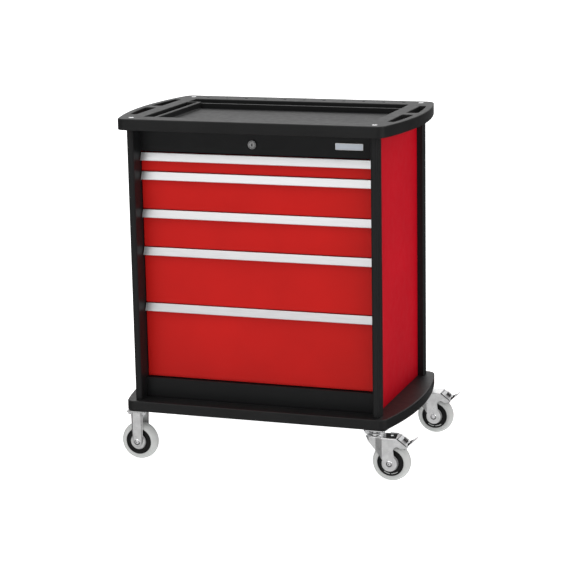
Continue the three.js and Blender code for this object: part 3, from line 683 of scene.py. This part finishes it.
def panel_rivets():
    """Blind rivets down both edges of the rear panel, into the posts."""
    low, high = cad_box("rear_panel")
    rows = 6
    from_side, from_end = 14, 30
    dome = Body()
    dome.dome([(3.6, -0.6), (3.6, 0.3), (3.1, 0.9), (2.1, 1.3), (1.3, 1.4), (1.2, 0.9)], 20)
    body = Body()
    for x in (low.x + from_side, high.x - from_side):
        for row in range(rows):
            z = low.z + from_end + (high.z - low.z - 2 * from_end) * row / (rows - 1)
            body.add(dome, at(x, high.y, z) @ Matrix.Rotation(math.pi, 4, "Z") @ DEEP)
    piece("panel_rivets", body, "zinc_steel", "cabinet")


# ---------------------------------------------------------------- lock and nameplate
def lock():
    """Bezel, turning plug with a keyway, and a dark shutter behind the keyway."""
    low, high = cad_box("lock_housing")
    x, z = (low.x + high.x) / 2, (low.z + high.z) / 2
    face = cad_box("lock_fascia")[0].y
    stand = at(x, face, z) @ DEEP
    bezel = Body()
    profile = [(8.4, -20), (10.8, -20), (10.8, 0.3), (11.7, 0.3), (11.7, 2.9), (11.4, 4.1)]
    profile += [(10.8, 4.8), (10.1, 5), (9.5, 4.9), (9.1, 4.4), (8.4, 4.2)]
    bezel.lathe(profile)
    piece("lock_bezel", bezel.moved(stand), "axle_steel", "cabinet", ["lock_housing"])
    keyway = rounded([(-1.3, -3.6), (1.3, -3.6), (1.3, 3.6), (-1.3, 3.6)], 0.8, 3)
    plug = Body()
    plug.plate(circle(0, 0, 8.1, 40), -22, 4.1, 0.5, [keyway])
    piece("lock_plug_face", plug.moved(stand), "axle_steel", "lock_cylinder", ["lock_plug"])
    shutter = Body()
    shutter.plate(circle(0, 0, 4.4, 24), -3, 0.5, 0.2)
    piece("lock_shutter", shutter.moved(stand), "rim_black", "lock_cylinder")


def nameplate():
    """A raised border round a blank panel."""
    low, high = cad_box("nameplate")
    stand = at(0, high.y, 0) @ DEEP
    border_width, overlap = 1.6, 0.4
    border = Body()
    outline = rectangle(low.x, high.x, low.z, high.z, 2)
    window = inset(outline, border_width)
    border.plate(outline, 0, high.y - low.y, 0.35, [window])
    piece("nameplate_border", border.moved(stand), "zinc_steel", "cabinet", ["nameplate"])
    panel = Body()
    panel.plate(inset(outline, border_width - overlap), 0, 0.7, 0.1)
    piece("nameplate_panel", panel.moved(stand), "plate_metal", "cabinet")


# ---------------------------------------------------------------- wheels
def hub_of(corner):
    """Where a wheel's centre is."""
    low, high = cad_box(f"tyre_{corner}")
    return (low + high) / 2


def on_hub(corner):
    """Stands a body drawn about the Z axis in a wheel's place."""
    return Matrix.Translation(hub_of(corner)) @ DEEP


def both_sides(half):
    """A wheel profile from its front half, from the bore round the front to the rim's middle."""
    return half + [(radius, -depth) for radius, depth in reversed(half)]


def tyre(corner):
    half = [(35, 14.6), (36, 15.5), (38, 16), (42.4, 15.9), (43.4, 15.3), (44.2, 14.3), (46.3, 12.2)]
    half += [(48.1, 9.4), (49.3, 6.2), (49.9, 3.0), (50, 0.8)]
    body = Body()
    body.lathe(both_sides(half), 72)
    piece(f"tread_{corner}", body.moved(on_hub(corner)), "tyre_grey", f"wheel_{corner}", [f"tyre_{corner}"])


def wheel_centre(corner):
    half = [(6.3, 16.5), (16.5, 16.5), (17.5, 16), (18.2, 13.6), (19.4, 12.4), (21, 12.1)]
    half += [(30.4, 12.1), (31.6, 12.6), (32.2, 14.1), (33.2, 14.8), (34.4, 14.8), (35.1, 14.2)]
    body = Body()
    body.lathe(both_sides(half), 64)
    piece(f"centre_{corner}", body.moved(on_hub(corner)), "rim_black", f"wheel_{corner}", [f"rim_{corner}"])


def hub_guard(corner):
    """Pressed steel guards that keep threads out of the bearing, one on each side."""
    guard = Body()
    profile = [(6.6, 17.6), (9, 17.9), (13.6, 18.2), (15.2, 17.4), (18.4, 17.3), (20.2, 17.8)]
    profile += [(21.3, 17.2), (21.7, 16), (21.1, 16), (20.1, 16.7), (6.6, 16.7)]
    guard.lathe(profile)
    body = Body()
    body.add(guard).add(guard, Matrix.Scale(-1, 4, (0, 0, 1)))
    piece(f"hub_guard_{corner}", body.moved(on_hub(corner)), "caster_steel", f"wheel_{corner}")


def wheel_marks(corner):
    """Two plain raised arcs low on the wheel centre, in place of lettering."""
    inner, outer = 28.8, 30.8
    apart, reach = 20, 17  # degrees from straight down to an arc's middle, and from there to its ends
    body = Body()
    for side in (-1, 1):
        middle = -90 + side * apart
        ring = arc(0, 0, outer, middle - reach, middle + reach, 10)
        ring += arc(0, 0, inner, middle + reach, middle - reach, 10)
        body.plate(ring, 11.8, 12.6, 0.15, (), 1)
    piece(f"marks_{corner}", body.moved(on_hub(corner)), "tyre_grey", f"wheel_{corner}")


def axle(corner, rides_on):
    """A domed socket head in front and a hexagonal nut behind."""
    low, _ = cad_box(f"axle_{corner}")
    reach = hub_of(corner).y - low.y
    body = Body()
    body.add(screw_head(radius=8.4, height=3, socket=2.4, depth=3.1), at(0, 0, reach - 3.5))
    body.plate(circle(0, 0, 5.9, 28), -reach, reach - 3, 0.2)
    nut = Body()
    nut.plate(hexagon(9.2, 0.8), 0, 4, 0.6)
    body.add(nut, at(0, 0, 0.1 - reach))
    piece(f"axle_bolt_{corner}", body.moved(on_hub(corner)), "chrome", rides_on, [f"axle_{corner}"])


# ---------------------------------------------------------------- casters
PLATE_TOP = BASE_LOW.z - 0.3
PLATE_BOTTOM = PLATE_TOP - 3
PLATE_HALF = 28
BOLT_SPREAD = 20.5  # from a mounting plate's centre to its bolts, both ways
HUB_HEIGHT = 50
SHEET = 2.5  # thickness of the forks' legs
FIXED_WIDTH = 17  # half the width of a fixed fork's leg at its top
FIXED_WAIST = 15  # the same a little above the hub
FIXED_FLAT = 12  # half the width of its flat face
FIXED_HALF = 24.5  # from a fixed wheel's plane to the outside of its fork
REAR_HALF = Matrix.Scale(-1, 4, (0, 1, 0))


def bend(corners, soften):
    """Where to cut a sheet, and its lift at each x: straight between corners and softened near them.

    Each corner is (x, lift).
    """

    def straight(x):
        if x <= corners[0][0]:
            return corners[0][1]
        for (x0, y0), (x1, y1) in zip(corners, corners[1:]):
            if x <= x1:
                return y0 + (y1 - y0) * (x - x0) / (x1 - x0)
        return corners[-1][1]

    def lift(x):
        samples = [straight(x + soften * (k / 4 - 1)) for k in range(9)]
        return sum(samples) / len(samples)

    lines = [x + soften * (k / 2 - 1) for x, _ in corners for k in range(5)]
    return sorted(set(lines)), lift


def leg(outline, outer, corners, soften, holes=()):
    """A folded steel leg in front of the wheel; outer is how far its flat stands from the wheel's plane."""
    body = Body()
    body.plate(outline, 0, SHEET, 0.7, holes, 3)
    body.moved(at(0, SHEET - outer, 0) @ DEEP)
    return fold(body, *bend(corners, soften))


def mounting_plate():
    body = Body()
    outline = rectangle(-PLATE_HALF, PLATE_HALF, -PLATE_HALF, PLATE_HALF, 6)
    body.plate(outline, PLATE_BOTTOM, PLATE_TOP, 0.8)
    return body


def hexagon(radius, corner_round):
    corners = [(p.x, p.y) for p in circle(0, 0, radius, 6)]
    return rounded(corners, corner_round, 3)


def plate_bolts(x, y):
    """Four nuts with washers and bolt ends under a mounting plate."""
    body = Body()
    for side in (-1, 1):
        for end in (-1, 1):
            nut = Body()
            nut.plate(circle(0, 0, 6.4, 24), -1, 0.2, 0.2)
            nut.plate(hexagon(5.8, 0.5), -5.6, -0.9, 0.5)
            nut.plate(circle(0, 0, 2.9, 16), -8.4, -5.2, 0.5)
            body.add(nut, at(x + side * BOLT_SPREAD, y + end * BOLT_SPREAD, PLATE_BOTTOM))
    return body


def fixed_caster(end):
    """Plate, crown and two legs with flanges bent back along their sides."""
    hub = hub_of(f"{end}_left")
    top, waist = PLATE_BOTTOM + 0.5, HUB_HEIGHT + 18
    side = [Vector((-FIXED_WIDTH, top)), Vector((-FIXED_WAIST, waist))]
    side += arc(0, HUB_HEIGHT, 12.3, 180, 360, 16)
    side += [Vector((FIXED_WAIST, waist)), Vector((FIXED_WIDTH, top))]
    section = [(-FIXED_WIDTH, 4), (-FIXED_FLAT, 0), (FIXED_FLAT, 0), (FIXED_WIDTH, 4)]
    front = leg(side, FIXED_HALF, section, 1.6)
    crown = Body()
    depth = FIXED_HALF - 0.1
    crown.plate(rectangle(-13.5, 13.5, -depth, depth, 1.5, 3), PLATE_BOTTOM - 4.5, top, 2.2, (), 4)
    body = mounting_plate()
    body.add(front).add(front, REAR_HALF).add(crown)
    name = f"fixed_fork_{end}"
    piece(f"fixed_caster_{end}", body.moved(at(hub.x, hub.y, 0)), "caster_steel", "cabinet", [name])
    piece(f"fixed_plate_bolts_{end}", plate_bolts(hub.x, hub.y), "zinc_steel", "cabinet")


def swivel_top(end, x, y):
    """Mounting plate, upper race, king pin and its nut."""
    body = mounting_plate()
    race = Body()
    profile = [(5, 126.4), (19.6, 126.4), (20.6, 126.8), (21, 127.6), (20.8, 128.6)]
    profile += [(19.8, 129.4), (20.6, 130.2), (21, 131.2), (20.6, 132.9), (5, 132.9)]
    race.lathe(profile)
    pin = Body()
    pin.plate(circle(0, 0, 5.9, 24), 111, PLATE_BOTTOM + 0.5, 0.3)
    pin.plate(hexagon(10, 1), 107.8, 113.4, 0.7)
    body.add(race).add(pin)
    piece(f"swivel_head_{end}", body.moved(at(x, y, 0)), "chrome", "cabinet", [f"swivel_plate_{end}"])
    piece(f"swivel_plate_bolts_{end}", plate_bolts(x, y), "zinc_steel", "cabinet")


FORK_TOP = 117
# Along the swivel fork, from the wheel's axis
FORK_NOSE = -66
NOSE_BEND = -57
TRAIL = 40  # to the swivel's axis, measured towards the nose
FOLD_START = -38
FOLD_END = -19
CROWN_END = 19
FORK_TAIL = 45
# From the wheel's plane to the outside of the fork
FORK_HALF = 26
NOSE_HALF = 20
TIP_HALF = 10


def swivel_fork_side():
    """Raked nose, round hub boss, a throat, and a hooked lobe behind the wheel."""
    hub, top, tail = HUB_HEIGHT, FORK_TOP - 1, FORK_TAIL - 0.4
    side = [Vector((FORK_NOSE, top)), Vector((FORK_NOSE, FORK_TOP - 2))]
    side += arc(0, hub, 20.4, 155, 396, 42)
    side += [Vector((12.6, hub + 18.5))]
    side += arc(20.5, hub + 35, 10.5, 194, 45, 16)
    side += [Vector((33, hub + 41.4)), Vector((38.5, hub + 42.2))]
    side += [Vector((tail, hub + 45.4)), Vector((tail, hub + 48.3))]
    side += [Vector((CROWN_END + 0.8, top))]
    return side


def swivel_fork(end):
    """Two folded legs joined by a crown and a nose, with the lower race on top."""
    hub = hub_of(f"{end}_right")
    step = FORK_HALF - NOSE_HALF
    section = [(FORK_NOSE, FORK_HALF - TIP_HALF), (NOSE_BEND, step), (FOLD_START, step)]
    section += [(FOLD_END, 0), (FORK_TAIL, 0)]
    holes = [circle(0, HUB_HEIGHT, 6.2, 24)]
    front = leg(swivel_fork_side(), FORK_HALF, section, 2, holes)
    half = [(FORK_NOSE, -TIP_HALF, 3), (NOSE_BEND, -NOSE_HALF, 5), (FOLD_START, -NOSE_HALF, 6)]
    half += [(FOLD_END, -FORK_HALF, 6), (CROWN_END, -FORK_HALF, 2)]
    plan = half + [(x, -y, reach) for x, y, reach in reversed(half)]
    crown = Body()
    bore = circle(-TRAIL, 0, 6.6, 24)
    crown.plate(inset(rounded(plan, 0, 4), 0.05), FORK_TOP - 4.6, FORK_TOP, 2.2, [bore], 4)
    nose = Body()
    face = rectangle(0.3 - TIP_HALF, TIP_HALF - 0.3, FORK_TOP - 5.6, FORK_TOP - 1.2, 0.8)
    nose.plate(face, 0, SHEET, 0.7)
    nose.moved(at(FORK_NOSE + SHEET, 0, 0) @ Matrix.Rotation(math.pi, 4, "Z") @ ACROSS)
    race = Body()
    profile = [(6.8, 116.5), (19.4, 116.5), (20.4, 118.2), (21, 120.4), (21, 122)]
    profile += [(20.4, 124.2), (19, 125.5), (6.8, 125.5)]
    race.lathe(profile)
    body = Body()
    body.add(front).add(front, REAR_HALF).add(crown).add(nose)
    stand = at(hub.x, hub.y, 0)
    rides_on = f"swivel_{end}"
    piece(f"fork_{end}", body.moved(stand), "caster_steel", rides_on, [f"swivel_fork_{end}"])
    piece(f"lower_race_{end}", race.moved(stand @ at(-TRAIL, 0, 0)), "chrome", rides_on)
    # The black strip on the front leg's slope is painted shade.
    fork_slope_shade(end, stand, rides_on)
    swivel_top(end, hub.x - TRAIL, hub.y)


def fork_slope_shade(end, stand, rides_on):
    """A black strip of painted shade along the front leg's sloping edge, beside the pedal."""
    strip = [(CROWN_END + 0.4, 117.2), (44.4, 98.6), (45.6, 100.1), (CROWN_END + 1.6, 119)]
    body = Body()
    body.plate(rounded(strip, 0.4, 3), 24, FORK_HALF - 0.2, 0.4)
    # Painted shade: a black strip stands in for the shaded edge of the front leg's slope.
    piece(f"fork_slope_shade_{end}", body.moved(stand @ DEEP), "rim_black", rides_on)


def swivel_lock(end):
    """The swivel lock on the fork's crown: a black front cheek with a bright stud, and a low block behind."""
    hub = hub_of(f"{end}_right")
    stand = at(hub.x, hub.y, 0) @ DEEP
    low, high = FORK_TOP - 0.4, 128.5
    cheek, block = Body(), Body()
    cheek.plate(rounded([(-10, low), (16, low), (21, high, 0.6), (-10, high)], 1.2, 3), 15, 18.6, 0.8)
    cheek.plate(rounded([(-8, low), (14, low), (15, 121), (-8, 121)], 1, 3), -18, -14, 0.8)
    block.plate(rounded([(-8, low), (14, low), (15, 120.5), (-8, 120.5)], 1, 3), -14.5, 15.5, 0.5)
    block.plate(rounded([(3, 122.6), (10.6, 122.6), (10.6, 126.2), (3, 126.2)], 1.7, 4), 18.2, 19.3, 0.4)
    piece(f"swivel_lock_{end}", cheek.moved(stand), "rim_black", f"swivel_{end}")
    piece(f"swivel_lock_stud_{end}", block.moved(stand), "zinc_steel", f"swivel_{end}")


def brake_pedal(end):
    """Sloping lever between the legs, foot flap with a rolled tip, black wedges of painted shade under the
    flap, and coil spring.
    """
    hub = hub_of(f"{end}_right")
    stand = at(hub.x, hub.y, 0)
    rides_on = f"pedal_{end}"
    flap = [(36.5, 94), (40, 92.6, 2), (43.5, 94.2, 2), (63.4, 111.8, 3), (66.6, 114.6, 0.8)]
    flap += [(66, 116.4, 0.8), (62.2, 114.2, 3), (43, 97.4, 3), (37.5, 98)]
    lever = Body()
    lever.plate(rounded(flap, 0.6, 3), -11, 11, 0.6)
    slope = rounded([(CROWN_END + 2, 114.6), (43.6, 96.4), (44.6, 97.7), (CROWN_END + 3, 116)], 0.5, 3)
    lever.plate(slope, -23.1, 23.1, 0.4)
    shoe = rounded([(36.4, 86.8), (39.4, 86.2), (42.6, 94), (36.8, 96)], 0.8, 3)
    lever.plate(shoe, -7, 7, 0.6)
    piece(f"foot_flap_{end}", lever.moved(stand @ DEEP), "zinc_steel", rides_on, [f"brake_pedal_{end}"])
    # The black wedges are painted shade under the flap.
    wedge = rounded([(45.4, 96.6), (46, 103.6), (57.4, 109.4)], 0.5, 3)
    dark = Body()
    for face in (-1, 1):
        near, far = sorted((face * 10.4, face * 12.4))
        dark.plate(wedge, near, far, 0.4)
    piece(f"flap_shade_wedges_{end}", dark.moved(stand @ DEEP), "rim_black", rides_on)
    spring(end, stand, rides_on)


def spring(end, stand, rides_on):
    """Close coil that lifts the pedal again; its axis follows the slope of the lever."""
    start, along = Vector((32, 0, 113.2)), Vector((1, 0, -0.75)).normalized()
    across = Vector((0, 1, 0))
    upright = along.cross(across)
    turns, steps, radius, length = 4, 16, 5.2, 13
    path = []
    for k in range(turns * steps + 1):
        angle = 2 * math.pi * k / steps
        centre = start + along * (length * k / (turns * steps))
        path.append(centre + across * radius * math.cos(angle) + upright * radius * math.sin(angle))
    body = Body()
    body.tube(path, 0.9, 8)
    piece(f"pedal_spring_{end}", body.moved(stand), "rim_black", rides_on)


def casters():
    swivel_lock("front")
    for end in ("front", "rear"):
        fixed_caster(end)
        swivel_fork(end)
        brake_pedal(end)
        wheel_marks(f"{end}_right")
        axle(f"{end}_left", "cabinet")
        axle(f"{end}_right", f"swivel_{end}")
        for side in ("left", "right"):
            corner = f"{end}_{side}"
            tyre(corner)
            wheel_centre(corner)
            hub_guard(corner)


# ---------------------------------------------------------------- stage
CAMERA_PLACE = (1.67302, -4.80725, 1.58352)
CAMERA_YAW, CAMERA_PITCH, CAMERA_ROLL = (math.radians(a) for a in (18.542, -12.425, -0.899))
CAMERA_SHIFT = (-0.0414, -0.0175)
FOCAL_LENGTH = 122.24
SENSOR_WIDTH = 36
FLOOR_REACH = 30
FLOOR_GLOW = 0.7
LIGHT_TARGET = (0, 0, 0.45)  # the middle of the cart
LIGHT_DISTANCE = 4.6
LIGHT_SIZE = 2.2
LIGHTS = {"key": ((-35, 52), 35), "side": ((80, 25), 30)}  # (azimuth, elevation) and power
SUN_POWER = 1.2
SUN_SPREAD = math.radians(120)
ROOM_GLOW = 0.06
# Bright parts of the room: (azimuth, elevation), then in degrees the radius of the full part
# and the radius where it has faded out, then its strength
ROOM_PANELS = [
    ((0, 90), 50, 90, 0.38),
    ((-12, -10), 18, 34, 0.58),
    ((78, 0), 18, 40, 0.5),
    ((-165, 20), 20, 38, 0.8),
]


def camera():
    flat = math.cos(CAMERA_PITCH)
    ahead = Vector((-math.sin(CAMERA_YAW) * flat, math.cos(CAMERA_YAW) * flat, math.sin(CAMERA_PITCH)))
    level = ahead.cross(Vector((0, 0, 1))).normalized()
    above = level.cross(ahead)
    right = level * math.cos(CAMERA_ROLL) + above * math.sin(CAMERA_ROLL)
    up = above * math.cos(CAMERA_ROLL) - level * math.sin(CAMERA_ROLL)
    data = bpy.data.cameras.new("camera")
    data.sensor_width = SENSOR_WIDTH
    data.lens = FOCAL_LENGTH
    data.shift_x, data.shift_y = CAMERA_SHIFT
    data.clip_end = 100
    thing = bpy.data.objects.new("camera", data)
    bpy.context.scene.collection.objects.link(thing)
    turn = Matrix((right, up, -ahead)).transposed().to_4x4()
    thing.matrix_world = Matrix.Translation(CAMERA_PLACE) @ turn
    bpy.context.scene.camera = thing


def floor():
    """A wide pale floor. Reflections skip it, so that upright faces mirror only the studio around them."""
    mesh = bpy.data.meshes.new("floor")
    reach = FLOOR_REACH
    corners = [(-reach, -reach, 0), (reach, -reach, 0), (reach, reach, 0), (-reach, reach, 0)]
    mesh.from_pydata(corners, [], [(0, 1, 2, 3)])
    thing = bpy.data.objects.new("floor", mesh)
    bpy.context.scene.collection.objects.link(thing)
    thing.visible_glossy = False
    n = Nodes("pale_floor")
    n.set(Base_Color=(0.9, 0.9, 0.9, 1), Roughness=0.9, Specular_IOR_Level=0.1)
    n.set(Emission_Color=(1, 1, 1, 1), Emission_Strength=FLOOR_GLOW)
    mesh.materials.append(n.material)


def compass(azimuth, elevation):
    """A direction, from the azimuth to the right of straight in front and the height above the floor."""
    azimuth, elevation = math.radians(azimuth), math.radians(elevation)
    flat = math.cos(elevation)
    return (math.sin(azimuth) * flat, -math.cos(azimuth) * flat, math.sin(elevation))


def soft_light(name, direction, power):
    """A square area light that faces the middle of the cart."""
    data = bpy.data.lights.new(name, "AREA")
    data.size = LIGHT_SIZE
    data.energy = power
    thing = bpy.data.objects.new(name, data)
    bpy.context.scene.collection.objects.link(thing)
    target = Vector(LIGHT_TARGET)
    place = target + Vector(compass(*direction)) * LIGHT_DISTANCE
    thing.location = place
    thing.rotation_euler = (target - place).to_track_quat("-Z", "Y").to_euler()


def overhead_sun():
    """Even light from above that keeps the whole floor pale, with very soft shadows."""
    data = bpy.data.lights.new("overhead", "SUN")
    data.energy = SUN_POWER
    data.angle = SUN_SPREAD
    thing = bpy.data.objects.new("overhead", data)
    bpy.context.scene.collection.objects.link(thing)


def studio():
    """A dim room with soft bright panels, white where the camera sees it directly, and the lamps."""
    world = bpy.data.worlds.new("studio")
    bpy.context.scene.world = world
    world.use_nodes = True
    tree = world.node_tree
    tree.nodes["Background"].inputs["Color"].default_value = (1, 1, 1, 1)
    direction = tree.nodes.new("ShaderNodeTexCoord").outputs["Generated"]

    def maths(operation, first, second):
        node = tree.nodes.new("ShaderNodeMath")
        node.operation = operation
        for socket, value in zip(node.inputs, (first, second)):
            if isinstance(value, (int, float)):
                socket.default_value = value
            else:
                tree.links.new(value, socket)
        return node.outputs["Value"]

    def panel(place, full, fade, strength):
        """Brightness of one round panel, fading out between two angles from its middle."""
        dot = tree.nodes.new("ShaderNodeVectorMath")
        dot.operation = "DOT_PRODUCT"
        dot.inputs[1].default_value = compass(*place)
        tree.links.new(direction, dot.inputs[0])
        ramp = tree.nodes.new("ShaderNodeMapRange")
        ramp.interpolation_type = "SMOOTHSTEP"
        ramp.inputs["From Min"].default_value = math.cos(math.radians(fade))
        ramp.inputs["From Max"].default_value = math.cos(math.radians(full))
        ramp.inputs["To Max"].default_value = strength
        tree.links.new(dot.outputs["Value"], ramp.inputs["Value"])
        return ramp.outputs["Result"]

    glow = ROOM_GLOW
    for values in ROOM_PANELS:
        glow = maths("ADD", glow, panel(*values))
    seen = tree.nodes.new("ShaderNodeLightPath").outputs["Is Camera Ray"]
    tree.links.new(maths("MAXIMUM", glow, seen), tree.nodes["Background"].inputs["Strength"])
    overhead_sun()
    for name, (direction, power) in LIGHTS.items():
        soft_light(name, direction, power)
    bpy.context.scene.view_settings.view_transform = "Standard"


camera()
dress_cad_nodes()
top_tray()
tray_screws()
panel_rivets()
base_tray()
cabinet()
for number in range(1, DRAWERS + 1):
    handle(number)
lock()
nameplate()
casters()
floor()
studio()
